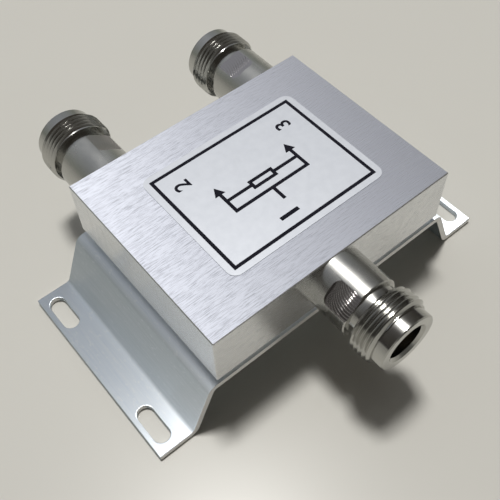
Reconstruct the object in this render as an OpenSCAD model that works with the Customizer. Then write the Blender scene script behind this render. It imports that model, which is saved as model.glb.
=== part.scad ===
// Two-way coaxial power splitter on a folded mounting bracket.
// Millimetres. The origin is on the mounting surface, midway between the flanges and between the
// ends of the connectors. +Z is up, the input looks along -Y and the two outputs look along +Y.

/* [Housing] */
// Width of the housing, across the two outputs
housing_w = 62; // [58:0.5:80]
// Depth of the housing, from the input face to the output face
housing_d = 48.6; // [46:0.1:70]
// Height of the housing
housing_h = 14.4; // [14.2:0.1:24]
// Thickness of the two side walls
side_wall = 6; // [5.4:0.1:7.5]
// Thickness of the two walls that the connectors screw into
end_wall = 5.5; // [4.5:0.1:7]
// Radius that the end mill leaves in the cavity's corners
cavity_r = 3; // [1:0.1:4]
// Bevel on the housing's machined edges
edge_break = 0.2; // [0.1:0.05:0.5]

/* [Cover] */
// Thickness of the bottom cover
cover_t = 1.6; // [1.2:0.1:3]
// How far the cover stands in from the housing's edges
cover_inset = 1.2; // [0.4:0.1:1.4]
// Distance of the cover's screws from the housing's edges
cover_screw_inset = 3.4; // [3.3:0.1:3.8]
// Length of the cover's countersunk screws
cover_screw_l = 5; // [4:0.5:6]

/* [Bracket] */
// Thickness of the bracket's sheet
sheet_t = 1.5; // [1:0.1:2.5]
// Height of the bracket's top plate above the mounting surface
bracket_h = 14.2; // [11:0.1:24]
// How far the upper bends stand out past the housing, each side
bend_overhang = 1.9; // [0.5:0.1:6]
// Horizontal run of each sloping web, from the upper bend to the flange
web_run = 5.4; // [2:0.1:12]
// Width of each flange
flange_w = 8.4; // [7.6:0.1:16]
// Inside radius of the bends
bend_r = 1.2; // [0.5:0.1:2.5]
// Width of the mounting slots
slot_w = 3.8; // [3:0.1:4.5]
// Length of the mounting slots from end to end
slot_l = 9.4; // [6:0.1:12]
// Distance of the slots' middle line from the flange's outer edge
slot_edge = 3.1; // [2.6:0.1:4]
// Distance of each slot's centre from the bracket's end
slot_inset = 6.8; // [6.2:0.1:10]
// Distance between the bracket's screws along each side
bracket_screw_pitch = 24; // [16:0.5:30]
// Distance of the bracket's screws from the housing's sides
bracket_screw_inset = 3.5; // [3.4:0.1:3.7]
// Length of the bracket's pan-head screws
bracket_screw_l = 9; // [7:0.5:11]

/* [Connectors] */
// How far the input's axis lies off the housing's middle, to the right
input_dx = -0.9; // [-3:0.1:3]
// Distance of each output's axis from the housing's side
output_inset = 9.7; // [9.3:0.1:14]
// Length of a connector beyond the housing's face
connector_l = 20.1; // [19:0.1:26]
// Diameter of the round body
body_dia = 14.1; // [13.6:0.1:14.4]
// Length of the round body
body_l = 10; // [8:0.1:11]
// Diameter of the neck behind the coupling thread
neck_dia = 12.2; // [11:0.1:13]
// Outside diameter of the coupling thread
thread_dia = 15.875; // [14.5:0.125:18]
// Length of the coupling thread
thread_l = 5.3; // [4:0.1:6.5]
// Diameter of the plain nose in front of the thread
nose_dia = 13.8; // [12.8:0.1:14.2]
// Length of the plain nose
nose_l = 2.7; // [1.5:0.1:3.8]
// Bevel on the two ends of the coupling thread
thread_bevel = 0.5; // [0.2:0.05:0.8]
// Diameter of the spigot that screws into the housing
spigot_dia = 10; // [9.6:0.1:10.4]
// Distance across the two spanner flats
flats_af = 12.7; // [12.2:0.1:13.3]
// Distance of the spanner flats from the housing's face
flats_start = 3.7; // [2:0.1:6]
// Corner radius that the end mill leaves at the inner end of the flats
flats_r = 2; // [1:0.1:2.4]
// Turn of the input's flats about its axis, from +X towards +Z
input_flats_turn = 139; // [0:1:180]
// Turn of the first output's flats
output_1_flats_turn = 58; // [0:1:180]
// Turn of the second output's flats
output_2_flats_turn = 107; // [0:1:180]
// Diameter of the socket's bevelled mouth
mouth_dia = 9.7; // [9:0.1:11]
// Diameter of the socket
socket_dia = 8.4; // [8:0.1:8.8]
// Depth of the socket
socket_depth = 9.1; // [8:0.1:11]
// Diameter of the line behind the socket
line_dia = 7; // [6:0.1:7.4]
// Diameter of the centre contact
contact_dia = 3.04; // [2.6:0.02:3.6]
// Diameter of the hole in the centre contact
contact_hole_dia = 1.6; // [1.2:0.1:1.8]
// How far the centre contact lies behind the mouth
contact_recess = 5; // [4.5:0.1:6.5]
// Diameter of the contact's solder tail
tail_dia = 1.3; // [1:0.1:1.6]
// Length of the solder tail inside the cavity
tail_l = 3; // [2:0.1:4.5]

/* [Circuit] */
// Thickness of the board
board_t = 1; // [0.6:0.1:1.6]
// Radius of the two divider rings, to the middle of their tracks
ring_r = 6; // [5:0.1:6.4]
// Width of the ring tracks
ring_track_w = 1.1; // [0.7:0.1:1.6]
// Width of the input and output tracks
line_track_w = 1.9; // [1.4:0.1:2.2]
// Gap between the two halves of the divider
split_gap = 1.2; // [0.8:0.1:1.5]

/* [Label] */
// Width of the label
label_w = 40.6; // [30:0.1:50]
// Depth of the label
label_d = 31.2; // [24:0.1:40]
// Corner radius of the label
label_r = 2.2; // [0.5:0.1:4]
// Thickness of the label
label_t = 0.15; // [0.1:0.05:0.4]
// How far the label lies off the housing's middle, to the right
label_dx = 0.85; // [-3:0.05:3]
// How far the label lies off the housing's middle, towards the outputs
label_dy = -0.35; // [-2:0.05:2]

/* [Hidden] */
$fn = 96;
// Steps along each bend of the bracket
bend_steps = 12;
// Overlength that lets a cut pass clean through a face
cut = 1;
// Radial clearance between pieces that fit into each other
fit = 0.05;
// Radial clearance of a screw in a plain hole
screw_play = 0.2;
// Depth of a tapped hole past its screw's end
tap_runout = 1;
// Clearance between the board and the cavity's walls
board_gap = 0.4;
// Thickness of the copper
track_t = 0.07;
// Room left between the spigot's end and the cavity
spigot_relief = 0.3;
// Bevel on the turned edges of a connector
turned_bevel = 0.25;
// Room that the end mill takes past each side of a spanner flat
flats_side_room = 0.3;
// Width and depth of the slits that make the contact springy
contact_slit_w = 0.25;
contact_slit_l = 3.4;
// Depth of the hole in the contact
contact_hole_l = 4.2;
// Length of the contact that the insulator holds at full diameter
contact_seat_l = 4.5;
// How far the insulator's wide end reaches past the housing's face
insulator_step_u = 3;
// Wall of the spigot around the insulator's wide end
spigot_wall = 0.9;

// Cover screws, countersunk
cover_screw_dia = 2;
cover_screw_head_dia = 3.8;
// Bracket screws, pan head
bracket_screw_dia = 3;
bracket_screw_head_dia = 5.6;
bracket_screw_head_h = 2;
// Board screws, pan head
board_screw_dia = 2;
board_screw_head_dia = 3.4;
board_screw_head_h = 1.2;
board_screw_l = 4;
board_screw_inset = 3.2;
// Share of a screw head that its cross recess takes, in length, width and depth
recess_l_share = 0.58;
recess_w_share = 0.14;
recess_h_share = 0.55;
// Share of a pan head's height that its rounded edge takes
pan_round_share = 0.6;

// Chip resistors, length across the split, width and height
resistor_l = 2;
resistor_w = 1.25;
resistor_h = 0.5;
// Length of a chip resistor's end caps, and how far they stand proud
resistor_cap_l = 0.35;
resistor_cap_proud = 0.04;
// Solder around a tail: its width on the track, and its cover under the tail
solder_w = 2.1;
solder_cover = 0.25;

// Heights
housing_z = bracket_h + cover_t;
housing_top = housing_z + housing_h;
axis_z = housing_z + housing_h / 2;
track_z = axis_z + tail_dia / 2;
board_z = track_z + track_t;
ceiling_z = board_z + board_t;

// Cavity and board
cavity_w = housing_w - 2 * side_wall;
cavity_d = housing_d - 2 * end_wall;
board_w = cavity_w - 2 * board_gap;
board_d = cavity_d - 2 * board_gap;

// Bracket
plate_half = housing_w / 2 + bend_overhang;
flange_half = plate_half + web_run + flange_w;
web_angle = atan2(bracket_h - sheet_t, web_run);
bend_setback = tan(web_angle / 2);
plate_flat = plate_half - (bend_r + sheet_t) * bend_setback;
slot_x = flange_half - slot_edge;
slot_y = housing_d / 2 - slot_inset;

// Distance between the axes of the two outputs
output_pitch = housing_w - 2 * output_inset;

// Places of the screws
cover_screw_x = housing_w / 2 - cover_screw_inset;
cover_screw_y = housing_d / 2 - cover_screw_inset;
bracket_screw_x = housing_w / 2 - bracket_screw_inset;
bracket_screw_y = bracket_screw_pitch / 2;
output_track_top = 2 * ring_r + line_track_w / 2;
board_screw_places = [
    for (side = [-1, 1]) each [
        [side * (board_w / 2 - board_screw_inset), board_screw_inset - board_d / 2],
        [side * output_pitch / 4, (output_track_top + board_d / 2) / 2],
    ]
];

// Connectors, measured outwards from the housing's face
spigot_end = spigot_relief - end_wall;
nose_start = connector_l - nose_l;
thread_start = nose_start - thread_l;
socket_floor = connector_l - socket_depth;
contact_tip = connector_l - contact_recess;
contact_seat = socket_floor - contact_seat_l;
tail_end = -end_wall - tail_l;
insulator_wide_dia = spigot_dia - 2 * spigot_wall;
flats_chord = 2 * sqrt(pow(body_dia / 2, 2) - pow(flats_af / 2, 2));

// Ports: place along X, side along Y, turn of the spanner flats
INPUT = [input_dx, -1, input_flats_turn];
OUTPUT_1 = [-output_pitch / 2, 1, output_1_flats_turn];
OUTPUT_2 = [output_pitch / 2, 1, output_2_flats_turn];
PORTS = [INPUT, OUTPUT_1, OUTPUT_2];

// Colours
bright_aluminium = [0.84, 0.85, 0.88];
satin_aluminium = [0.68, 0.70, 0.74];
nickel = [0.62, 0.60, 0.57];
gold = [0.80, 0.62, 0.28];
white_plastic = [0.93, 0.92, 0.88];
copper = [0.75, 0.46, 0.28];
tin = [0.70, 0.70, 0.71];
steel = [0.55, 0.56, 0.58];

// Rectangle about the origin with round corners
module rounded_rect(w, d, r) {
    square([w - 2 * r, d], center = true);
    square([w, d - 2 * r], center = true);
    for (sx = [-1, 1], sy = [-1, 1])
        translate([sx * (w / 2 - r), sy * (d / 2 - r)]) circle(r);
}

// Rectangle about the origin with bevelled corners
module bevelled_rect(w, d, c) {
    polygon([
        [c - w / 2, -d / 2], [w / 2 - c, -d / 2], [w / 2, c - d / 2], [w / 2, d / 2 - c],
        [w / 2 - c, d / 2], [c - w / 2, d / 2], [-w / 2, d / 2 - c], [-w / 2, c - d / 2]
    ]);
}

// Block that stands on the origin's plane, with all twelve edges bevelled
module machined_block(w, d, h, c) {
    intersection() {
        linear_extrude(h) bevelled_rect(w, d, c);
        translate([0, d / 2, h / 2]) rotate([90, 0, 0]) linear_extrude(d) bevelled_rect(w, h, c);
        translate([-w / 2, 0, h / 2]) rotate([90, 0, 90]) linear_extrude(w) bevelled_rect(d, h, c);
    }
}

// Copies of the children at the four mirrored places of one point
module at_corners(x, y) {
    for (sx = [-1, 1], sy = [-1, 1])
        translate([sx * x, sy * y, 0]) children();
}

// Moves a shape turned about +Z to a port, with +Z pointing out of the housing
module at_port(port) {
    translate([port[0], port[1] * housing_d / 2, axis_z]) rotate([-90 * port[1], 0, 0]) children();
}

// Cross recess in the underside of a screw head, sunk up from the origin's plane
module cross_recess(head_dia, depth) {
    for (turn = [0, 90]) rotate(turn)
        cube([recess_l_share * head_dia, recess_w_share * head_dia, 2 * depth], center = true);
}

// Pan-head screw that points up, its head hanging below the origin
module pan_screw(dia, l, head_dia, head_h) {
    round_h = head_h * pan_round_share;
    difference() {
        rotate_extrude() polygon([
            [0, -head_h], [head_dia / 2 - round_h, -head_h],
            [head_dia / 2 - round_h / 3, round_h / 3 - head_h], [head_dia / 2, round_h - head_h],
            [head_dia / 2, 0], [dia / 2, 0], [dia / 2, l], [0, l]
        ]);
        translate([0, 0, -head_h]) cross_recess(head_dia, recess_h_share * head_h);
    }
}

// Section of a countersunk screw that points up, its head level with the origin's plane
module countersunk_section(dia, head_dia, l) {
    cone_h = (head_dia - dia) / 2;
    polygon([[0, 0], [head_dia / 2, 0], [dia / 2, cone_h], [dia / 2, l], [0, l]]);
}

// Machined box, open below, with a tapped hole for each connector
module housing() {
    color(bright_aluminium) difference() {
        translate([0, 0, housing_z]) machined_block(housing_w, housing_d, housing_h, edge_break);
        translate([0, 0, housing_z - cut])
            linear_extrude(ceiling_z - housing_z + cut) rounded_rect(cavity_w, cavity_d, cavity_r);
        for (port = PORTS) at_port(port)
            translate([0, 0, -end_wall]) cylinder(d = spigot_dia + 2 * fit, h = end_wall + cut);
        at_corners(cover_screw_x, cover_screw_y) translate([0, 0, housing_z - cut])
            cylinder(d = cover_screw_dia + 2 * fit, h = cover_screw_l - cover_t + tap_runout + cut);
        at_corners(bracket_screw_x, bracket_screw_y) translate([0, 0, housing_z - cut]) cylinder(
            d = bracket_screw_dia + 2 * fit, h = bracket_screw_l - sheet_t - cover_t + tap_runout + cut);
        for (place = board_screw_places) translate([place[0], place[1], board_z])
            cylinder(d = board_screw_dia + 2 * fit, h = board_screw_l + tap_runout);
    }
}

// Flat cover under the housing, countersunk for its own screws and drilled for the bracket's
module bottom_cover() {
    color(satin_aluminium) translate([0, 0, bracket_h]) difference() {
        linear_extrude(cover_t)
            bevelled_rect(housing_w - 2 * cover_inset, housing_d - 2 * cover_inset, cover_inset);
        at_corners(cover_screw_x, cover_screw_y) {
            rotate_extrude() countersunk_section(
                cover_screw_dia + 2 * fit, cover_screw_head_dia + 2 * fit, cover_t + cut);
            translate([0, 0, -cut]) cylinder(d = cover_screw_head_dia + 2 * fit, h = cut);
        }
        at_corners(bracket_screw_x, bracket_screw_y) translate([0, 0, -cut])
            cylinder(d = bracket_screw_dia + 2 * screw_play, h = cover_t + 2 * cut);
    }
}

// Points along an arc, from one angle to another
function arc_points(centre, r, from, to) = [
    for (i = [0:bend_steps]) let (a = from + (to - from) * i / bend_steps) centre + r * [cos(a), sin(a)]
];

// The same points on the other side, in the opposite order
function mirrored(points) = [for (i = [len(points) - 1:-1:0]) [-points[i][0], points[i][1]]];

// Section of the bracket: plate, and on each side a bend, a web, a bend and a flange
module bracket_section() {
    upper_centre = [plate_flat, bracket_h - sheet_t - bend_r];
    lower_centre = [plate_half + web_run + bend_r * bend_setback, sheet_t + bend_r];
    outer_r = bend_r + sheet_t;
    upper_side = concat(
        arc_points(upper_centre, outer_r, 90, 90 - web_angle),
        arc_points(lower_centre, bend_r, 270 - web_angle, 270),
        [[flange_half, sheet_t]]
    );
    under_side = concat(
        [[flange_half, 0]],
        arc_points(lower_centre, outer_r, 270, 270 - web_angle),
        arc_points(upper_centre, bend_r, 90 - web_angle, 90)
    );
    polygon(concat(mirrored(upper_side), upper_side, under_side, mirrored(under_side)));
}

// Folded sheet with two slots in each flange
module mounting_bracket() {
    color(satin_aluminium) difference() {
        translate([0, housing_d / 2, 0]) rotate([90, 0, 0]) linear_extrude(housing_d) bracket_section();
        at_corners(slot_x, slot_y) translate([0, 0, -cut]) linear_extrude(sheet_t + 2 * cut) {
            square([slot_w, slot_l - slot_w], center = true);
            for (end = [-1, 1]) translate([0, end * (slot_l - slot_w) / 2]) circle(d = slot_w);
        }
        at_corners(bracket_screw_x, bracket_screw_y) translate([0, 0, bracket_h - sheet_t - cut])
            cylinder(d = bracket_screw_dia + 2 * screw_play, h = sheet_t + 2 * cut);
    }
}

// Foil plate on the housing's top
module label() {
    color(white_plastic) translate([label_dx, label_dy, housing_top])
        linear_extrude(label_t) rounded_rect(label_w, label_d, label_r);
}

// Outside of a connector: spigot, body, neck, coupling thread and nose
module shell_outside() {
    spigot_r = spigot_dia / 2;
    body_r = body_dia / 2;
    thread_r = thread_dia / 2;
    nose_r = nose_dia / 2;
    rotate_extrude() polygon([
        [0, spigot_end], [spigot_r - turned_bevel, spigot_end], [spigot_r, spigot_end + turned_bevel],
        [spigot_r, 0], [body_r, 0],
        [body_r, body_l - turned_bevel], [body_r - turned_bevel, body_l], [neck_dia / 2, body_l],
        [neck_dia / 2, thread_start], [thread_r - thread_bevel, thread_start],
        [thread_r, thread_start + thread_bevel], [thread_r, nose_start - thread_bevel],
        [thread_r - thread_bevel, nose_start], [nose_r, nose_start],
        [nose_r, connector_l - turned_bevel], [nose_r - turned_bevel, connector_l], [0, connector_l]
    ]);
}

// Inside of a connector: bevelled mouth, socket, line and the insulator's wide seat
module shell_inside() {
    mouth_bevel = (mouth_dia - socket_dia) / 2;
    rotate_extrude() polygon([
        [0, spigot_end - cut], [insulator_wide_dia / 2, spigot_end - cut],
        [insulator_wide_dia / 2, insulator_step_u], [line_dia / 2, insulator_step_u],
        [line_dia / 2, socket_floor], [socket_dia / 2, socket_floor],
        [socket_dia / 2, connector_l - mouth_bevel], [mouth_dia / 2, connector_l],
        [mouth_dia / 2, connector_l + cut], [0, connector_l + cut]
    ]);
}

// Room that the end mill clears for one spanner flat that looks along +X
module spanner_flat() {
    half_w = flats_chord / 2 + flats_side_room;
    end_l = body_l + turned_bevel - flats_start;
    translate([flats_af / 2, 0, 0]) rotate([90, 0, 90]) linear_extrude(body_dia)
        translate([0, flats_start]) {
            translate([-half_w, flats_r]) square([2 * half_w, end_l - flats_r]);
            translate([flats_r - half_w, 0]) square([2 * (half_w - flats_r), end_l]);
            for (side = [-1, 1]) translate([side * (half_w - flats_r), flats_r]) circle(flats_r);
        }
}

// Turned connector body with two opposite spanner flats
module connector_shell(port) {
    color(nickel) at_port(port) difference() {
        shell_outside();
        shell_inside();
        for (half_turn = [0, 180]) rotate(half_turn - port[1] * port[2]) spanner_flat();
    }
}

module input_shell() connector_shell(INPUT);
module output_1_shell() connector_shell(OUTPUT_1);
module output_2_shell() connector_shell(OUTPUT_2);

// Stepped bush that holds the centre contact in the shell
module connector_insulator(port) {
    wide_r = insulator_wide_dia / 2 - fit;
    narrow_r = line_dia / 2 - fit;
    tail_hole_r = tail_dia / 2 + fit;
    contact_hole_r = contact_dia / 2 + fit;
    color(white_plastic) at_port(port) rotate_extrude() polygon([
        [tail_hole_r, spigot_end], [wide_r, spigot_end], [wide_r, insulator_step_u],
        [narrow_r, insulator_step_u], [narrow_r, socket_floor], [contact_hole_r, socket_floor],
        [contact_hole_r, contact_seat], [tail_hole_r, contact_seat]
    ]);
}

module input_insulator() connector_insulator(INPUT);
module output_1_insulator() connector_insulator(OUTPUT_1);
module output_2_insulator() connector_insulator(OUTPUT_2);

// Slit socket contact with a solder tail
module connector_contact(port) {
    contact_r = contact_dia / 2;
    hole_r = contact_hole_dia / 2;
    tail_r = tail_dia / 2;
    color(gold) at_port(port) difference() {
        rotate_extrude() polygon([
            [0, tail_end], [tail_r, tail_end], [tail_r, contact_seat], [contact_r, contact_seat],
            [contact_r, contact_tip], [hole_r, contact_tip], [hole_r, contact_tip - contact_hole_l],
            [0, contact_tip - contact_hole_l]
        ]);
        for (turn = [45, 135]) rotate(turn)
            translate([-contact_dia, -contact_slit_w / 2, contact_tip - contact_slit_l])
                cube([2 * contact_dia, contact_slit_w, contact_slit_l + cut]);
    }
}

module input_contact() connector_contact(INPUT);
module output_1_contact() connector_contact(OUTPUT_1);
module output_2_contact() connector_contact(OUTPUT_2);

// Board against the cavity's ceiling, drilled for its screws
module circuit_board() {
    color("darkgreen") translate([0, 0, board_z]) linear_extrude(board_t) difference() {
        rounded_rect(board_w, board_d, cavity_r);
        for (place = board_screw_places) translate(place) circle(d = board_screw_dia + 2 * screw_play);
    }
}

// Etched pattern: input track, two split rings in a row, and a track to each output
module divider_tracks() {
    half_pitch = output_pitch / 2;
    output_y = 2 * ring_r;
    input_jog_y = -(output_y + board_d / 2) / 2;
    color(copper) translate([0, 0, track_z]) linear_extrude(track_t) {
        translate([input_dx - line_track_w / 2, -board_d / 2])
            square([line_track_w, input_jog_y + (board_d + line_track_w) / 2]);
        translate([(input_dx - abs(input_dx) - line_track_w) / 2, input_jog_y - line_track_w / 2])
            square([abs(input_dx) + line_track_w, line_track_w]);
        translate([-line_track_w / 2, input_jog_y]) square([line_track_w, -output_y - input_jog_y]);
        difference() {
            for (side = [-1, 1]) translate([0, side * ring_r]) difference() {
                circle(ring_r + ring_track_w / 2);
                circle(ring_r - ring_track_w / 2);
            }
            translate([-split_gap / 2, -ring_r]) square([split_gap, 4 * ring_r]);
        }
        for (side = [0, 1]) mirror([side, 0]) {
            translate([split_gap / 2, output_y - line_track_w / 2])
                square([half_pitch + (line_track_w - split_gap) / 2, line_track_w]);
            translate([half_pitch - line_track_w / 2, output_y])
                square([line_track_w, board_d / 2 - output_y]);
        }
    }
}

// Chip resistor across the split, hanging under the tracks
module chip_resistor(y) {
    color("dimgray") translate([0, y, track_z]) {
        translate([-resistor_l / 2, -resistor_w / 2, -resistor_h])
            cube([resistor_l, resistor_w, resistor_h]);
        for (side = [0, 1]) mirror([side, 0, 0])
            translate([resistor_l / 2 - resistor_cap_l, -resistor_w / 2 - resistor_cap_proud,
                       -resistor_h - resistor_cap_proud])
                cube([resistor_cap_l + resistor_cap_proud, resistor_w + 2 * resistor_cap_proud,
                      resistor_h + resistor_cap_proud]);
    }
}

module input_side_resistor() chip_resistor(0);
module output_side_resistor() chip_resistor(2 * ring_r);

// Solder that holds each contact's tail to its track
module solder_joints() {
    tail_r = tail_dia / 2;
    color(tin) for (port = PORTS)
        translate([port[0], port[1] * (cavity_d / 2 - board_gap), axis_z])
            rotate([90 * port[1], 0, 0]) linear_extrude(tail_l - board_gap)
                scale([1, port[1]]) difference() {
                    polygon([
                        [-solder_w / 2, tail_r], [solder_w / 2, tail_r],
                        [tail_r, -tail_r - solder_cover], [-tail_r, -tail_r - solder_cover]
                    ]);
                    circle(tail_r + fit);
                    translate([-tail_r / 2, 0]) square([tail_r, tail_dia]);
                }
}

// Countersunk screws that hold the cover
module cover_screws() {
    cone_h = (cover_screw_head_dia - cover_screw_dia) / 2;
    color(steel) at_corners(cover_screw_x, cover_screw_y) translate([0, 0, bracket_h]) difference() {
        rotate_extrude() countersunk_section(cover_screw_dia, cover_screw_head_dia, cover_screw_l);
        cross_recess(cover_screw_head_dia, recess_h_share * cone_h);
    }
}

// Pan-head screws that hold the bracket
module bracket_screws() {
    color(steel) at_corners(bracket_screw_x, bracket_screw_y) translate([0, 0, bracket_h - sheet_t])
        pan_screw(bracket_screw_dia, bracket_screw_l, bracket_screw_head_dia, bracket_screw_head_h);
}

// Pan-head screws that hold the board
module board_screws() {
    color(steel) for (place = board_screw_places) translate([place[0], place[1], board_z])
        pan_screw(board_screw_dia, board_screw_l, board_screw_head_dia, board_screw_head_h);
}

housing();
bottom_cover();
mounting_bracket();
label();
input_shell();
output_1_shell();
output_2_shell();
input_insulator();
output_1_insulator();
output_2_insulator();
input_contact();
output_1_contact();
output_2_contact();
circuit_board();
divider_tracks();
input_side_resistor();
output_side_resistor();
solder_joints();
cover_screws();
bracket_screws();
board_screws();
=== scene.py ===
"""Looks of a two-way coaxial power splitter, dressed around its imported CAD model."""

import math

import bmesh
import bpy
from mathutils import Matrix, Quaternion, Vector


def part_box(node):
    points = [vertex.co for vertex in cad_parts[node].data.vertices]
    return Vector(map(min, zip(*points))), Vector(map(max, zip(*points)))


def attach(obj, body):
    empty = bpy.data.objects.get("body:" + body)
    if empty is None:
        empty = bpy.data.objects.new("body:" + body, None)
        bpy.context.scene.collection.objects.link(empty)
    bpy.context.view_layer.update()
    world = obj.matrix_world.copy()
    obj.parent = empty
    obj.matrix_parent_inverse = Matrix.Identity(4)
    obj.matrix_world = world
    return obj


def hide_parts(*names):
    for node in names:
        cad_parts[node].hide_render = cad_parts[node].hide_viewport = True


MM = 0.001
BODY = "root"

# Photograph's camera: place and aim in millimetres, lean to the right in degrees, lens and sensor width in
# millimetres, nearest distance that shows in metres
CAMERA_AT = (-63.95, -78.76, 148.71)
CAMERA_AIM = (-9.61, -8.6, 23.0)
CAMERA_LEAN = 2.307
CAMERA_LENS = 54.08
CAMERA_SENSOR = 36.0
CAMERA_NEAR = 0.01

# Connector shell in millimetres, heights measured outwards from the housing's face
SPIGOT_R = 5.0
BODY_R = 7.05
BODY_L = 10.0
NECK_R = 6.1
NOSE_R = 6.9
NOSE_L = 2.7
MOUTH_R = 4.85
SOCKET_R = 4.2
SOCKET_DEPTH = 9.1
LINE_R = 3.5
SEAT_R = 4.1
SEAT_DEPTH = 3.0
TURNED_BEVEL = 0.25
SHELL_STEPS = 144
SHELL_MERGE = 1e-4
SHELL_SLIVER = 1e-5

# Coupling thread, 24 turns to the inch and 0.613 of its pitch deep; its form over one turn is share of the
# pitch against share of the depth below the crest
THREAD_R = 7.9375
THREAD_L = 5.3
THREAD_PITCH = 25.4 / 24
THREAD_DEPTH = 0.613 * THREAD_PITCH
THREAD_FORM = (
    (0.0, 0.12), (0.03, 0.03), (0.0625, 0.0), (0.095, 0.03), (0.125, 0.12),
    (0.46, 0.93), (0.51, 1.0), (0.615, 1.0), (0.665, 0.93),
)

# Spanner flats, milled across the body
FLATS_AF = 12.7
FLATS_START = 3.7
FLATS_CORNER_R = 2.0
FLATS_CORNER_STEPS = 12
FLATS_SIDE_ROOM = 0.3
FLATS_REACH = 2.0
FLATS_FACING = 0.999
FLATS_SLACK = 0.01

# Arcs that the end mill left on the flats; they fade towards both ends of the flat
MILL_R = 5.0
MILL_CENTRE = 9.0
MILL_STEP = 0.62
MILL_SHARPNESS = 14.0
MILL_START = (5.0, 6.5)
MILL_START_SHARE = 0.05
MILL_END = (7.5, 9.5)
MILL_END_SHARE = 0.3

# Ports: side along Y, turn of the flats from +X towards +Z in degrees, depth of the mill's marks
PORTS = {"input": (-1, 139, 0.05), "output_1": (1, 58, 0.015), "output_2": (1, 107, 0.04)}

# Bracket's broken edges, the angles that tell a sharp edge and a flat face, and doubled points in metres
SHEET_EDGE = 0.18
SHARP_ANGLE = math.radians(32)
FLAT_ANGLE = math.radians(0.5)
FRAME_MERGE = 1e-7

# Label print in millimetres: border, divider sign and port numerals
BORDER_LOW = (-17.97, -14.51)
BORDER_HIGH = (19.68, 13.84)
BORDER_W = 0.8
INK_T = 0.012
SIGN_W = 0.8
SIGN_SPAN = 9.5
SIGN_BASE = -7.4
SIGN_FORK = -3.6
SIGN_TOP = 4.0
ARROW_L = 2.3
ARROW_W = 2.6
BRIDGE_Y = -0.4
BRIDGE_BOX = (6.4, 2.6)
NUMERALS = (
    # Numeral, middle, height and boldness
    ("1", (-0.8, -11.0), 6.4, 0.16),
    ("2", (-12.9, 8.8), 5.0, 0.08),
    ("3", (14.1, 8.4), 5.0, 0.08),
)

# Brushed block: cells of the marks to the metre, the part of the noise that is torn, relief as strength and
# height in millimetres, and how squarely a face looks along an axis to count as an end or as the top
BRUSH_CELLS = (420.0, 13000.0, 13000.0)
BRUSH_CELLS_ENDS = (13000.0, 420.0, 13000.0)
BRUSH_TORN = (0.38, 0.48)
BRUSH_RELIEF = (0.35, 0.02)
END_FACING = 0.8
TOP_FACING = 0.99
BRUSHED_SIDES = {
    "light": (0.92, 0.93, 0.94), "dark": (0.74, 0.75, 0.77),
    "roughness": 0.25, "torn": 0.30, "anisotropy": 0.99,
}
# The top's tones are darker and bluer than the sides': painted shade and a painted bluish cast of the
# light. Its rougher finish is the top's own.
BRUSHED_TOP_SHADED = {
    "light": (0.78, 0.805, 0.88), "dark": (0.60, 0.62, 0.68),
    "roughness": 0.73, "torn": 1.0, "anisotropy": 0.88,
}

# Rolled sheet: cells to the metre, dark and light tones of the rolled faces with a painted bluish cast of
# the light, darker tones painted on the upright webs as shade, and the upward share of the normal from webs
# to level faces
SHEET_CLOUDS = (60.0, 25.0, 60.0)
SHEET_SCRATCHES = (4200.0, 90.0, 4200.0)
SHEET_GRAIN = (2600.0, 2600.0, 2600.0)
SHEET_SPECKS = (1700.0, 800.0, 1700.0)
SPECKS_SHARE = (0.62, 0.72)
SHEET_ROLLED = ((0.77, 0.84, 0.92), (0.94, 0.98, 1.0))
SHEET_SHADED_WEBS = ((0.53, 0.59, 0.62), (0.68, 0.72, 0.76))
SHEET_SHEARED = (0.95, 0.94, 0.93)
SHEET_WEB_SHADE_TURN = (0.6, 0.95)
SHEET_ROUGHNESS = (0.46, 0.41)
SHEET_ANISOTROPY = 0.96

# Plating: tones, roughness, and the distances from the middle in metres over which the body's satin ends
NICKEL_TONES = ((0.45, 0.45, 0.43), (0.53, 0.525, 0.50))
NICKEL_ROUGHNESS = (0.13, 0.20)
NICKEL_SATIN = 0.1
SATIN_END = (0.0343, 0.0358)

# Plain finishes: dark tone, light tone, cells to the metre, roughness, metallic share, and the CAD nodes
MOTTLED = {
    "label_foil": ((0.57, 0.595, 0.645), (0.61, 0.635, 0.685), 500.0, 0.5, 0.4, ("label",)),
    "insulator_plastic": (
        (0.84, 0.83, 0.79), (0.90, 0.89, 0.85), 600.0, 0.5, 0.0,
        ("input_insulator", "output_1_insulator", "output_2_insulator"),
    ),
    "board_laminate": ((0.08, 0.24, 0.13), (0.11, 0.30, 0.17), 1200.0, 0.55, 0.0, ("circuit_board",)),
    "track_copper": ((0.68, 0.40, 0.24), (0.78, 0.49, 0.30), 1500.0, 0.38, 1.0, ("divider_tracks",)),
    "chip_ceramic": (
        (0.07, 0.07, 0.08), (0.12, 0.12, 0.13), 2000.0, 0.5, 0.0,
        ("input_side_resistor", "output_side_resistor"),
    ),
    "solder": ((0.62, 0.62, 0.63), (0.72, 0.72, 0.73), 1500.0, 0.34, 1.0, ("solder_joints",)),
}

# Studio: the room's tones change over ranges of a ray's share along Y or Z
KEY_DIRECTION = (0.08, 0.17, 1.0)
KEY_DISTANCE = 2.0
KEY_SIZE = 0.32
KEY_POWER = 29.2
KEY_COLOUR = (1.0, 0.985, 0.96)
GLOW_STRENGTH = 0.9
GLOW_TIGHTNESS = 35.0
WALL_TOP = (0.37, 0.385, 0.42)
WALL_FOOT = (0.27, 0.28, 0.25)
WALL_RISE = (0.22, 0.78)
WALL_EDGE = (0.38, 0.50)
WALL_LEAN = 0.2
WALL_LEAN_TOP = 0.5
SIDE_TONE = (0.05, 0.045, 0.045)
BACK_TONE = (0.16, 0.16, 0.15)
BACK_TURN = (-0.2, -0.7)
OVERHEAD_TONE = (0.065, 0.058, 0.050)
OVERHEAD_RISE = (0.15, 0.5)
HORIZON_TONE = (0.42, 0.41, 0.375)
HORIZON_FADE = (0.05, 0.16)
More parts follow.
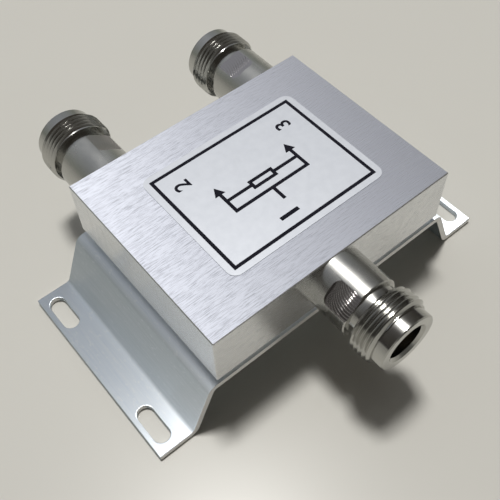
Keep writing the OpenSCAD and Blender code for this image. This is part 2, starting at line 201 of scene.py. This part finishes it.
FLOOR_COLOUR = (0.63, 0.62, 0.575)
FLOOR_SHADE = 0.97
FLOOR_CLOUDS = (9.0, 9.0, 9.0)
FLOOR_ROUGHNESS = 0.27
FLOOR_SHEEN = 0.2
FLOOR_SPAN = 6.0
FLOOR_DROP = 0.00002

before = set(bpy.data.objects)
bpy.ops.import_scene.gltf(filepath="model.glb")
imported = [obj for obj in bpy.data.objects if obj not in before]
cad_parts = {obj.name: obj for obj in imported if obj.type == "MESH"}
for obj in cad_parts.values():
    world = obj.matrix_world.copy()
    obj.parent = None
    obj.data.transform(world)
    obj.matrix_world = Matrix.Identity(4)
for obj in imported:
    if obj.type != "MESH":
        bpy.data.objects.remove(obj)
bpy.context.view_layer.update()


# Node helpers
def node(tree, kind, inputs=None, **settings):
    """Adds a node, sets its properties, and fills or links its inputs by name or number."""
    made = tree.nodes.new(kind)
    for name, value in settings.items():
        setattr(made, name, value)
    for key, value in (inputs or {}).items():
        if isinstance(value, bpy.types.NodeSocket):
            tree.links.new(value, made.inputs[key])
        else:
            made.inputs[key].default_value = value
    return made


def principled(name, colour, roughness, metallic=0.0):
    """A new principled material, with its node tree and its shader node."""
    material = bpy.data.materials.new(name)
    material.use_nodes = True
    shader = material.node_tree.nodes["Principled BSDF"]
    shader.inputs["Base Color"].default_value = (*colour, 1.0)
    shader.inputs["Roughness"].default_value = roughness
    shader.inputs["Metallic"].default_value = metallic
    return material, material.node_tree, shader


def place(tree):
    """Place on the piece, in the frame's metres."""
    return node(tree, "ShaderNodeTexCoord").outputs["Object"]


def noise(tree, scale, detail=3.0, roughness=0.55):
    """Noise with its own number of cells to the metre along each axis."""
    spread = node(tree, "ShaderNodeVectorMath", {0: place(tree), 1: scale}, operation="MULTIPLY").outputs[0]
    return node(
        tree, "ShaderNodeTexNoise",
        {"Vector": spread, "Scale": 1.0, "Detail": detail, "Roughness": roughness},
    ).outputs["Fac"]


def calc(tree, operation, *values):
    """Result of one operation on one or two values."""
    return node(tree, "ShaderNodeMath", dict(enumerate(values)), operation=operation).outputs[0]


def either(tree, factor, first, second):
    """First vector where the factor is 0, second where it is 1."""
    return node(tree, "ShaderNodeMix", {0: factor, 4: first, 5: second}, data_type="VECTOR").outputs[1]


def remap(tree, value, low, high, start=0.3, end=0.7):
    """Value from start to end, as low to high."""
    return node(
        tree, "ShaderNodeMapRange",
        {"Value": value, "From Min": start, "From Max": end, "To Min": low, "To Max": high},
    ).outputs["Result"]


def blend(tree, factor, first, second):
    """First colour where the factor is 0, second where it is 1."""
    return node(tree, "ShaderNodeMix", {0: factor, 6: first, 7: second}, data_type="RGBA").outputs[2]


def tint(tree, factor, dark, light):
    """Colour between two tones."""
    return blend(tree, factor, (*dark, 1.0), (*light, 1.0))


def bump(tree, shader, height, strength, distance, normal=None):
    """Relief on the shader's normal, distance in millimetres."""
    inputs = {"Height": height, "Strength": strength, "Distance": distance * MM}
    if normal is not None:
        inputs["Normal"] = normal
    relief = node(tree, "ShaderNodeBump", inputs).outputs["Normal"]
    tree.links.new(relief, shader.inputs["Normal"])
    return relief


# Materials
def brush(tree, shader, along, axis, ends_along):
    """Stretches the highlight across the brushing, which turns on faces that look along an axis."""
    normal = node(tree, "ShaderNodeNewGeometry").outputs["Normal"]
    facing = calc(tree, "ABSOLUTE", node(tree, "ShaderNodeSeparateXYZ", {0: normal}).outputs[axis])
    is_end = calc(tree, "GREATER_THAN", facing, END_FACING)
    lie = either(tree, is_end, along, ends_along)
    across = node(tree, "ShaderNodeVectorMath", {0: normal, 1: lie}, operation="CROSS_PRODUCT").outputs[0]
    tree.links.new(across, shader.inputs["Tangent"])
    return is_end


def brushed_aluminium(name, light, dark, roughness, torn, anisotropy):
    """Aluminium brushed along X, and along Y on the ends that look along X, with rougher torn dashes."""
    material, tree, shader = principled(name, light, roughness, metallic=1.0)
    shader.inputs["Anisotropic"].default_value = anisotropy
    is_end = brush(tree, shader, (1.0, 0.0, 0.0), "X", (0.0, 1.0, 0.0))
    lines = noise(tree, either(tree, is_end, BRUSH_CELLS, BRUSH_CELLS_ENDS), 2.0, 0.5)
    dashes = remap(tree, lines, 0.0, 1.0, *BRUSH_TORN)
    tree.links.new(tint(tree, dashes, dark, light), shader.inputs["Base Color"])
    tree.links.new(remap(tree, dashes, torn, roughness, 0.0, 1.0), shader.inputs["Roughness"])
    bump(tree, shader, lines, *BRUSH_RELIEF)
    return material


def satin_aluminium():
    """Rolled sheet with its grain and fine scratches along Y, and painted shade that darkens the upright
    webs.
    """
    material, tree, shader = principled("satin_aluminium", (0.86, 0.89, 0.92), 0.43, metallic=1.0)
    shader.inputs["Anisotropic"].default_value = SHEET_ANISOTROPY
    is_end = brush(tree, shader, (0.0, 1.0, 0.0), "Y", (1.0, 0.0, 0.0))
    clouds = noise(tree, SHEET_CLOUDS)
    scratches = noise(tree, SHEET_SCRATCHES, 3.0, 0.6)
    grain = noise(tree, SHEET_GRAIN, 2.0)
    specks = remap(tree, noise(tree, SHEET_SPECKS, 2.0), 0.0, 0.7, *SPECKS_SHARE)
    streaks = calc(tree, "ADD", remap(tree, scratches, 0.0, 0.5), specks)
    wear = calc(tree, "ADD", remap(tree, clouds, 0.0, 0.4), streaks)
    rolled = tint(tree, wear, *SHEET_ROLLED)
    normal = node(tree, "ShaderNodeNewGeometry").outputs["Normal"]
    level = calc(tree, "ABSOLUTE", node(tree, "ShaderNodeSeparateXYZ", {0: normal}).outputs["Z"])
    # Upright webs take darker tones by their normal alone: painted shade.
    shaded_webs = tint(tree, wear, *SHEET_SHADED_WEBS)
    wear_and_painted_shade = blend(tree, remap(tree, level, 0.0, 1.0, *SHEET_WEB_SHADE_TURN), shaded_webs, rolled)
    tree.links.new(blend(tree, is_end, wear_and_painted_shade, (*SHEET_SHEARED, 1.0)), shader.inputs["Base Color"])
    tree.links.new(remap(tree, wear, *SHEET_ROUGHNESS, 0.0, 1.0), shader.inputs["Roughness"])
    relief = bump(tree, shader, scratches, 0.3, 0.01)
    bump(tree, shader, grain, 0.15, 0.01, relief)
    return material


def nickel_plate():
    """Plating over turned brass, satin on the body and brighter on the coupling end."""
    material, tree, shader = principled("nickel_plate", (0.45, 0.435, 0.41), 0.18, metallic=1.0)
    turning = noise(tree, (350.0, 4500.0, 350.0), 3.0)
    smears = noise(tree, (260.0, 120.0, 260.0))
    tone = tint(tree, remap(tree, smears, 0.0, 1.0), *NICKEL_TONES)
    tree.links.new(tone, shader.inputs["Base Color"])
    depth = calc(tree, "ABSOLUTE", node(tree, "ShaderNodeSeparateXYZ", {0: place(tree)}).outputs["Y"])
    satin = remap(tree, depth, NICKEL_SATIN, 0.0, *SATIN_END)
    plain = remap(tree, smears, *NICKEL_ROUGHNESS)
    tree.links.new(calc(tree, "ADD", plain, satin), shader.inputs["Roughness"])
    bump(tree, shader, turning, 0.25, 0.01)
    return material


def milled_nickel(port, depth):
    """Plating over a port's spanner flats, with the arcs that the end mill left."""
    material, tree, shader = principled(f"{port}_milled_nickel", (0.43, 0.41, 0.41), 0.16, metallic=1.0)
    flat = node(tree, "ShaderNodeUVMap", uv_map="flats").outputs["UV"]
    parts = node(tree, "ShaderNodeSeparateXYZ", {0: flat})
    across, height = parts.outputs["X"], parts.outputs["Y"]
    along = calc(tree, "SUBTRACT", height, MILL_CENTRE)
    rise = calc(tree, "SQRT", calc(tree, "SUBTRACT", MILL_R ** 2, calc(tree, "POWER", along, 2.0)))
    turn = calc(tree, "MULTIPLY", calc(tree, "SUBTRACT", across, rise), 2 * math.pi / MILL_STEP)
    wave = remap(tree, calc(tree, "SINE", turn), 0.0, 1.0, -1.0, 1.0)
    ridges = calc(tree, "POWER", wave, MILL_SHARPNESS)
    rising = remap(tree, height, MILL_START_SHARE, 1.0, *MILL_START)
    falling = remap(tree, height, 1.0, MILL_END_SHARE, *MILL_END)
    fade = calc(tree, "MULTIPLY", rising, falling)
    bump(tree, shader, calc(tree, "MULTIPLY", ridges, fade), 1.0, depth)
    return material


def label_ink():
    """Matt black print."""
    material, tree, shader = principled("label_ink", (0.008, 0.008, 0.015), 0.7)
    shader.inputs["Specular IOR Level"].default_value = 0.1
    clouds = remap(tree, noise(tree, (900.0, 900.0, 900.0)), 0.0, 1.0)
    tone = tint(tree, clouds, (0.004, 0.004, 0.010), (0.012, 0.012, 0.020))
    tree.links.new(tone, shader.inputs["Base Color"])
    return material


def gold_plate():
    """Plated spring contact."""
    material, tree, shader = principled("gold_plate", (0.83, 0.62, 0.30), 0.25, metallic=1.0)
    smears = noise(tree, (900.0, 300.0, 900.0))
    tree.links.new(remap(tree, smears, 0.18, 0.34), shader.inputs["Roughness"])
    return material


def steel():
    """Bright screw steel with fine turning marks."""
    material, tree, shader = principled("screw_steel", (0.58, 0.58, 0.60), 0.3, metallic=1.0)
    grain = noise(tree, (3000.0, 3000.0, 300.0))
    tree.links.new(remap(tree, grain, 0.24, 0.40), shader.inputs["Roughness"])
    bump(tree, shader, grain, 0.08, 0.01)
    return material


def mottled(name, dark, light, cells, roughness, metallic):
    """Plain stuff whose tone wanders between two shades."""
    material, tree, shader = principled(name, light, roughness, metallic)
    clouds = noise(tree, (cells, cells, cells), detail=4.0)
    tree.links.new(tint(tree, remap(tree, clouds, 0.0, 1.0), dark, light), shader.inputs["Base Color"])
    bump(tree, shader, clouds, 0.05, 0.01)
    return material


# Mesh helpers
def piece(name, mesh, material):
    """Links a mesh as a piece of the object that rides on its one body."""
    mesh.materials.append(material)
    made = bpy.data.objects.new(name, mesh)
    bpy.context.scene.collection.objects.link(made)
    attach(made, BODY)
    return made


def mesh_from(bm, name):
    """Mesh with smooth faces between its sharp edges."""
    bmesh.ops.recalc_face_normals(bm, faces=bm.faces)
    mesh = bpy.data.meshes.new(name)
    bm.to_mesh(mesh)
    bm.free()
    mesh.shade_smooth()
    mesh.set_sharp_from_angle(angle=SHARP_ANGLE)
    return mesh


def join_rings(bm, rings, offset=0):
    """Quads between neighbouring rings of vertices; offset shifts the last column's partner."""
    columns = len(rings)
    for column in range(columns):
        here, there = rings[column], rings[(column + 1) % columns]
        shift = offset if column == columns - 1 else 0
        for row in range(len(here) - 1):
            if row + 1 + shift < len(there):
                bm.faces.new((here[row], there[row + shift], there[row + 1 + shift], here[row + 1]))


def around(step):
    """Direction of one angular step."""
    angle = 2 * math.pi * step / SHELL_STEPS
    return math.cos(angle), math.sin(angle)


def add_turned(bm, profile):
    """Surface of revolution from (radius, height) points."""
    columns = []
    for step in range(SHELL_STEPS):
        x, y = around(step)
        columns.append([bm.verts.new((r * x, r * y, z)) for r, z in profile])
    join_rings(bm, columns)


def add_thread(bm, start, end):
    """Right-hand helical thread between two heights, run out at both ends."""
    root_r = THREAD_R - THREAD_DEPTH
    turns = range(-2, math.ceil((end - start) / THREAD_PITCH) + 2)
    columns = []
    for step in range(SHELL_STEPS):
        x, y = around(step)
        column = []
        for turn in turns:
            for share, depth in THREAD_FORM:
                z = start + THREAD_PITCH * (turn + share + step / SHELL_STEPS)
                z = min(max(z, start), end)
                r = min(THREAD_R - depth * THREAD_DEPTH, root_r + min(z - start, end - z))
                column.append(bm.verts.new((r * x, r * y, z)))
        columns.append(column)
    join_rings(bm, columns, offset=-len(THREAD_FORM))


def flats_tool(turn):
    """Two solids that the end mill clears for the spanner flats."""
    bm = bmesh.new()
    half_chord = math.sqrt(BODY_R ** 2 - (FLATS_AF / 2) ** 2) + FLATS_SIDE_ROOM
    corner_x, corner_z = half_chord - FLATS_CORNER_R, FLATS_START + FLATS_CORNER_R
    front = BODY_L + TURNED_BEVEL
    outline = [(half_chord, front), (-half_chord, front)]
    for side, first in ((-1, 180), (1, 270)):
        for step in range(FLATS_CORNER_STEPS + 1):
            angle = math.radians(first + 90 * step / FLATS_CORNER_STEPS)
            outline.append((side * corner_x + FLATS_CORNER_R * math.cos(angle),
                            corner_z + FLATS_CORNER_R * math.sin(angle)))
    for half in (0, 180):
        turned = Matrix.Rotation(math.radians(turn + half), 3, "Z")
        floor = [bm.verts.new(turned @ Vector((FLATS_AF / 2, c, z))) for c, z in outline]
        top = [bm.verts.new(turned @ Vector((FLATS_AF / 2 + FLATS_REACH, c, z))) for c, z in outline]
        bm.faces.new(floor)
        bm.faces.new(top)
        for i in range(len(outline)):
            j = (i + 1) % len(outline)
            bm.faces.new((floor[i], floor[j], top[j], top[i]))
    bmesh.ops.recalc_face_normals(bm, faces=bm.faces)
    return bm


def scratch_object(name, bm):
    """Object that is used once and removed."""
    mesh = bpy.data.meshes.new(name)
    bm.to_mesh(mesh)
    bm.free()
    made = bpy.data.objects.new(name, mesh)
    bpy.context.scene.collection.objects.link(made)
    return made


def cut(solid, tool):
    """Mesh of the solid with the tool's room taken out of it."""
    boolean = solid.modifiers.new("cut", "BOOLEAN")
    boolean.operation = "DIFFERENCE"
    boolean.solver = "EXACT"
    boolean.object = tool
    graph = bpy.context.evaluated_depsgraph_get()
    mesh = bpy.data.meshes.new_from_object(solid.evaluated_get(graph))
    for used in (solid, tool):
        bpy.data.objects.remove(used)
    return mesh


def lay_out_flats(bm, turn):
    """Gives the flats their own material and a layout in millimetres: across, and along the axis."""
    layout = bm.loops.layers.uv.new("flats")
    for half in (0, 180):
        angle = math.radians(turn + half)
        out = Vector((math.cos(angle), math.sin(angle), 0.0))
        across = Vector((-math.sin(angle), math.cos(angle), 0.0))
        for face in bm.faces:
            off_plane = abs(face.calc_center_median().dot(out) - FLATS_AF / 2)
            if face.normal.dot(out) > FLATS_FACING and off_plane < FLATS_SLACK:
                face.material_index = 1
                for loop in face.loops:
                    loop[layout].uv = (loop.vert.co.dot(across), loop.vert.co.z)


def connector_shell(port, side, turn, plating, milled):
    """Turned shell with a real thread and milled flats, in the place of the CAD shell."""
    node_name = f"{port}_shell"
    low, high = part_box(node_name)
    face_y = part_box("housing")[1 if side > 0 else 0].y
    tip, root = (high.y, low.y) if side > 0 else (low.y, high.y)
    length, spigot_end = abs(tip - face_y) / MM, -abs(root - face_y) / MM
    thread_end = length - NOSE_L
    thread_start = thread_end - THREAD_L
    thread_root = THREAD_R - THREAD_DEPTH
    bm = bmesh.new()
    add_turned(bm, [
        (SEAT_R, spigot_end), (SPIGOT_R - TURNED_BEVEL, spigot_end),
        (SPIGOT_R, spigot_end + TURNED_BEVEL), (SPIGOT_R, 0.0), (BODY_R, 0.0),
        (BODY_R, BODY_L - TURNED_BEVEL), (BODY_R - TURNED_BEVEL, BODY_L),
        (NECK_R, BODY_L), (NECK_R, thread_start), (thread_root, thread_start),
    ])
    add_thread(bm, thread_start, thread_end)
    add_turned(bm, [
        (thread_root, thread_end), (NOSE_R, thread_end), (NOSE_R, length - TURNED_BEVEL),
        (NOSE_R - TURNED_BEVEL, length), (MOUTH_R, length), (SOCKET_R, length - MOUTH_R + SOCKET_R),
        (SOCKET_R, length - SOCKET_DEPTH), (LINE_R, length - SOCKET_DEPTH), (LINE_R, SEAT_DEPTH),
        (SEAT_R, SEAT_DEPTH), (SEAT_R, spigot_end),
    ])
    bmesh.ops.remove_doubles(bm, verts=bm.verts, dist=SHELL_MERGE)
    bmesh.ops.dissolve_degenerate(bm, edges=bm.edges, dist=SHELL_SLIVER)
    bmesh.ops.recalc_face_normals(bm, faces=bm.faces)
    local_turn = -side * turn
    cut_mesh = cut(scratch_object("blank", bm), scratch_object("mill", flats_tool(local_turn)))
    bm = bmesh.new()
    bm.from_mesh(cut_mesh)
    bpy.data.meshes.remove(cut_mesh)
    bm.normal_update()
    lay_out_flats(bm, local_turn)
    axis_x, axis_z = (low.x + high.x) / 2, (low.z + high.z) / 2
    outwards = Matrix.Rotation(math.radians(-90 * side), 4, "X")
    bm.transform(Matrix.Translation((axis_x, face_y, axis_z)) @ outwards @ Matrix.Scale(MM, 4))
    name = f"{port}_threaded_shell"
    made = piece(name, mesh_from(bm, name), plating)
    made.data.materials.append(milled)
    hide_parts(node_name)


def folded_sheet(material):
    """The bracket with its sheared edges broken."""
    bm = bmesh.new()
    bm.from_mesh(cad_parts["mounting_bracket"].data)
    bmesh.ops.remove_doubles(bm, verts=bm.verts, dist=FRAME_MERGE)
    bmesh.ops.dissolve_limit(bm, angle_limit=FLAT_ANGLE, verts=bm.verts, edges=bm.edges)
    edges = [e for e in bm.edges if len(e.link_faces) == 2 and e.calc_face_angle() > SHARP_ANGLE]
    bmesh.ops.bevel(bm, geom=edges, offset=SHEET_EDGE * MM, segments=2, profile=0.5, affect="EDGES")
    made = piece("folded_sheet", mesh_from(bm, "folded_sheet"), material)
    made.modifiers.new("even_faces", "WEIGHTED_NORMAL").keep_sharp = True
    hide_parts("mounting_bracket")


# Label print
def border_outlines():
    """Outer and inner outline of the border."""
    for inset in (0.0, BORDER_W):
        x0, y0 = BORDER_LOW[0] + inset, BORDER_LOW[1] + inset
        x1, y1 = BORDER_HIGH[0] - inset, BORDER_HIGH[1] - inset
        yield [(x0, y0), (x1, y0), (x1, y1), (x0, y1)]


def mirrored(right):
    """Closed outline from its right half, about the middle of the border."""
    middle = (BORDER_LOW[0] + BORDER_HIGH[0]) / 2
    return [(middle + x, y) for x, y in right] + [(middle - x, y) for x, y in reversed(right)]


def sign_outlines():
    """Line that forks into two arrows, with a bridging resistor; the outlines don't touch each other."""
    half = SIGN_W / 2
    shoulder = SIGN_TOP - ARROW_L
    inner = SIGN_SPAN - half
    box_x, box_y = BRIDGE_BOX[0] / 2, BRIDGE_BOX[1] / 2
    yield mirrored([
        (half, SIGN_BASE), (half, SIGN_FORK - half), (SIGN_SPAN + half, SIGN_FORK - half),
        (SIGN_SPAN + half, shoulder), (SIGN_SPAN + ARROW_W / 2, shoulder), (SIGN_SPAN, SIGN_TOP),
        (SIGN_SPAN - ARROW_W / 2, shoulder), (inner, shoulder), (inner, BRIDGE_Y + half),
        (box_x, BRIDGE_Y + half), (box_x, BRIDGE_Y + box_y),
    ])
    yield mirrored([
        (inner, SIGN_FORK + half), (inner, BRIDGE_Y - half),
        (box_x, BRIDGE_Y - half), (box_x, BRIDGE_Y - box_y),
    ])
    yield mirrored([
        (box_x - SIGN_W, BRIDGE_Y - box_y + SIGN_W), (box_x - SIGN_W, BRIDGE_Y + box_y - SIGN_W),
    ])


def ink_mesh(curve, matrix):
    """Mesh of a flat curve or numeral, moved to its place."""
    scratch = bpy.data.objects.new("ink", curve)
    bpy.context.scene.collection.objects.link(scratch)
    graph = bpy.context.evaluated_depsgraph_get()
    mesh = bpy.data.meshes.new_from_object(scratch.evaluated_get(graph))
    mesh.transform(matrix)
    bpy.data.objects.remove(scratch)
    return mesh


def label_print(material):
    """Printed border, divider sign and port numerals on the label's top."""
    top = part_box("label")[1].z + INK_T / 2 * MM
    lines = bpy.data.curves.new("lines", "CURVE")
    lines.dimensions = "2D"
    lines.fill_mode = "BOTH"
    lines.extrude = INK_T / 2 * MM
    for outline in [*border_outlines(), *sign_outlines()]:
        spline = lines.splines.new("POLY")
        spline.points.add(len(outline) - 1)
        spline.use_cyclic_u = True
        for point, (x, y) in zip(spline.points, outline):
            point.co = (x * MM, y * MM, 0.0, 1.0)
    meshes = [ink_mesh(lines, Matrix.Translation((0.0, 0.0, top)))]
    for body, (x, y), height, boldness in NUMERALS:
        numeral = bpy.data.curves.new("numeral", "FONT")
        numeral.body = body
        numeral.size = height * MM
        numeral.offset = boldness * MM
        numeral.extrude = INK_T / 2 * MM
        numeral.align_x = "CENTER"
        numeral.align_y = "CENTER"
        seat = Matrix.Translation((x * MM, y * MM, top))
        meshes.append(ink_mesh(numeral, seat @ Matrix.Rotation(math.radians(90), 4, "Z")))
    bm = bmesh.new()
    for mesh in meshes:
        bm.from_mesh(mesh)
        bpy.data.meshes.remove(mesh)
    bmesh.ops.remove_doubles(bm, verts=bm.verts, dist=FRAME_MERGE)
    piece("label_print", mesh_from(bm, "label_print"), material)


def dress(material, *nodes):
    """Gives CAD nodes a finish."""
    for name in nodes:
        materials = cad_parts[name].data.materials
        materials.clear()
        materials.append(material)


def dress_top(material, name):
    """Gives the faces of a CAD node that look straight up a material of their own."""
    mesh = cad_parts[name].data
    mesh.materials.append(material)
    for face in mesh.polygons:
        if face.normal.z > TOP_FACING:
            face.material_index = len(mesh.materials) - 1


# Studio
def look(at, aim, lean=0.0):
    """Turn that looks from one point at another, leaning to the right by some degrees."""
    turn = (Vector(aim) - Vector(at)).to_track_quat("-Z", "Y")
    return turn @ Quaternion((0.0, 0.0, 1.0), math.radians(-lean))


def camera():
    """Camera at the photograph's view."""
    data = bpy.data.cameras.new("camera")
    data.sensor_width = CAMERA_SENSOR
    data.lens = CAMERA_LENS
    data.clip_start = CAMERA_NEAR
    made = bpy.data.objects.new("camera", data)
    made.location = Vector(CAMERA_AT) * MM
    made.rotation_mode = "QUATERNION"
    made.rotation_quaternion = look(CAMERA_AT, CAMERA_AIM, CAMERA_LEAN)
    bpy.context.scene.collection.objects.link(made)
    bpy.context.scene.camera = made


def key_light():
    """Square panel overhead, a little beyond the object."""
    data = bpy.data.lights.new("key", "AREA")
    data.shape = "SQUARE"
    data.size = KEY_SIZE
    data.energy = KEY_POWER
    data.color = KEY_COLOUR
    made = bpy.data.objects.new("key", data)
    made.location = Vector(KEY_DIRECTION).normalized() * KEY_DISTANCE
    made.rotation_mode = "QUATERNION"
    made.rotation_quaternion = look(made.location, (0.0, 0.0, 0.0))
    bpy.context.scene.collection.objects.link(made)


def sky():
    """Dim room with a pale horizon, a pale wall beyond the object, and a glow around the key."""
    world = bpy.data.worlds.new("room")
    bpy.context.scene.world = world
    world.use_nodes = True
    tree = world.node_tree
    tree.nodes.clear()
    ray = node(tree, "ShaderNodeTexCoord").outputs["Generated"]
    parts = node(tree, "ShaderNodeSeparateXYZ", {0: ray})
    ahead, up = parts.outputs["Y"], parts.outputs["Z"]
    wall = tint(tree, remap(tree, up, 0.0, 1.0, *WALL_RISE), WALL_FOOT, WALL_TOP)
    around_camera = tint(tree, remap(tree, ahead, 0.0, 1.0, *BACK_TURN), SIDE_TONE, BACK_TONE)
    dark = blend(tree, remap(tree, up, 0.0, 1.0, *OVERHEAD_RISE), around_camera, (*OVERHEAD_TONE, 1.0))
    lean = calc(tree, "MULTIPLY", calc(tree, "MINIMUM", up, WALL_LEAN_TOP), WALL_LEAN)
    edge = remap(tree, calc(tree, "ADD", ahead, lean), 0.0, 1.0, *WALL_EDGE)
    beyond_floor = remap(tree, up, 1.0, 0.0, *HORIZON_FADE)
    room = blend(tree, beyond_floor, blend(tree, edge, dark, wall), (*HORIZON_TONE, 1.0))
    to_key = Vector(KEY_DIRECTION).normalized()
    towards_key = node(
        tree, "ShaderNodeVectorMath", {0: ray, 1: to_key}, operation="DOT_PRODUCT"
    ).outputs["Value"]
    glow = calc(tree, "POWER", calc(tree, "MAXIMUM", towards_key, 0.0), GLOW_TIGHTNESS)
    dome = node(tree, "ShaderNodeBackground", {"Color": room})
    halo = node(tree, "ShaderNodeBackground", {"Strength": calc(tree, "MULTIPLY", glow, GLOW_STRENGTH)})
    light = node(tree, "ShaderNodeAddShader", {0: dome.outputs[0], 1: halo.outputs[0]})
    node(tree, "ShaderNodeOutputWorld", {"Surface": light.outputs[0]})


def floor():
    """Pale table top with a faint sheen."""
    material, tree, shader = principled("floor", FLOOR_COLOUR, FLOOR_ROUGHNESS)
    shader.inputs["Specular IOR Level"].default_value = FLOOR_SHEEN
    clouds = remap(tree, noise(tree, FLOOR_CLOUDS), 0.0, 1.0)
    shaded = [FLOOR_SHADE * channel for channel in FLOOR_COLOUR]
    tree.links.new(tint(tree, clouds, shaded, FLOOR_COLOUR), shader.inputs["Base Color"])
    half = FLOOR_SPAN / 2
    mesh = bpy.data.meshes.new("floor")
    sides = ((-half, -half), (half, -half), (half, half), (-half, half))
    corners = [(x, y, -FLOOR_DROP) for x, y in sides]
    mesh.from_pydata(corners, [], [(0, 1, 2, 3)])
    mesh.materials.append(material)
    made = bpy.data.objects.new("floor", mesh)
    bpy.context.scene.collection.objects.link(made)


# The object
plating = nickel_plate()
for port, (side, turn, mark_depth) in PORTS.items():
    connector_shell(port, side, turn, plating, milled_nickel(port, mark_depth))
sheet_material = satin_aluminium()
folded_sheet(sheet_material)
label_print(label_ink())
dress(brushed_aluminium("brushed_sides", **BRUSHED_SIDES), "housing")
# The faces that look up get the darker, bluer tones, which are painted shade and a painted bluish cast.
dress_top(brushed_aluminium("brushed_top_painted_shade", **BRUSHED_TOP_SHADED), "housing")
dress(sheet_material, "bottom_cover")
dress(gold_plate(), "input_contact", "output_1_contact", "output_2_contact")
for name, (*finish, nodes) in MOTTLED.items():
    dress(mottled(name, *finish), *nodes)
dress(steel(), "cover_screws", "bracket_screws", "board_screws")

floor()
key_light()
sky()
camera()
bpy.context.scene.view_settings.view_transform = "Standard"
